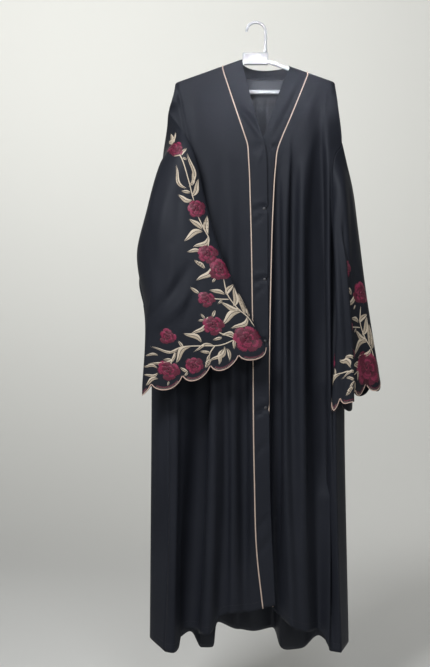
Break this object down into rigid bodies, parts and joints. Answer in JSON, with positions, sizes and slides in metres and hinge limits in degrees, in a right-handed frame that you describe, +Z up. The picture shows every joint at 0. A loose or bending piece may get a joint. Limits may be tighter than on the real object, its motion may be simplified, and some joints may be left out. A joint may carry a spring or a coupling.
{
  "type": "abaya cloak on a coat hanger",
  "caption": "Long open-front abaya cloak with wide scalloped sleeves, lapped front bands with piping and press studs, hanging on a plastic coat hanger.",
  "frame": {"origin": "underside of the hook's top, where a rail carries the hanger", "axes": "+Z up, front of the garment towards -Y, the wearer's right towards -X"},
  "size_m": [0.6087, 0.2437, 1.5854],
  "materials": {
    "abaya_cloth": "matt charcoal crepe",
    "piping": "satin cord",
    "press_stud": "bright plated",
    "hanger_plastic": "moulded white"
  },
  "bodies": {
    "root": {"back_neck_band": "abaya_cloth", "back_neck_piping": "piping", "back_panel": "abaya_cloth", "hanger_frame": "hanger_plastic", "hanger_hook": "hanger_plastic", "left_band": "abaya_cloth", "left_front": "abaya_cloth", "left_piping": "piping", "left_sleeve": "abaya_cloth", "press_socket_1": "press_stud", "press_socket_2": "press_stud", "press_socket_3": "press_stud", "press_socket_4": "press_stud", "press_socket_5": "press_stud", "press_stud_1": "press_stud", "press_stud_2": "press_stud", "press_stud_3": "press_stud", "press_stud_4": "press_stud", "press_stud_5": "press_stud", "right_band": "abaya_cloth", "right_front": "abaya_cloth", "right_piping": "piping", "right_sleeve": "abaya_cloth"}
  },
  "joints": []
}
